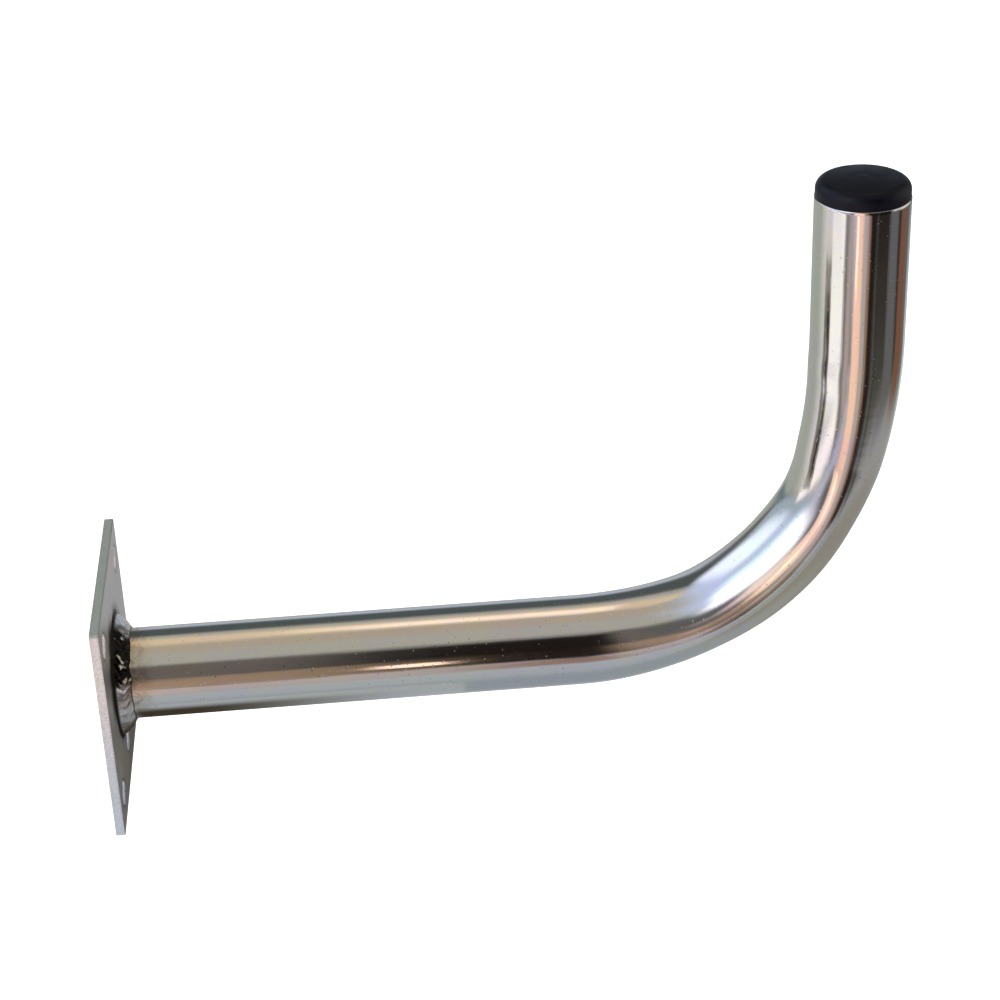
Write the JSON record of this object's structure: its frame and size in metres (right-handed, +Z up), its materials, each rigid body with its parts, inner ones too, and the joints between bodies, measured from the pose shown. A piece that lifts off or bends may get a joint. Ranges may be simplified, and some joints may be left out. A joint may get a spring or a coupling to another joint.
{
  "type": "mast wall bracket",
  "caption": "L-shaped wall bracket: square drilled plate, round steel tube welded to its face and bent upward through a right angle, closed by a push-in plastic cap.",
  "frame": {"origin": "centre of the plate's wall face, on the axis of the tube's arm", "axes": "+X points away from the wall along the arm, +Z points up along the upright, +Y completes a right-handed frame"},
  "size_m": [0.349, 0.102, 0.2623],
  "materials": {
    "zinc_plate": "zinc plated sheet steel, sheared edges",
    "zinc_tube": "bright zinc plated tube, slightly iridescent",
    "weld": "rippled weld metal, zinc plated over",
    "cap_plastic": "black moulded polyethylene, soft sheen"
  },
  "bodies": {
    "bracket": {"wall_plate": "zinc_plate", "bent_tube": "zinc_tube", "weld_bead": "weld"},
    "cap": {"end_cap": "cap_plastic"}
  },
  "joints": [
    {"name": "cap_pull", "type": "slide", "parent": "bracket", "child": "cap", "axis": [0, 0, 1], "range_m": [0, 0.025]}
  ]
}
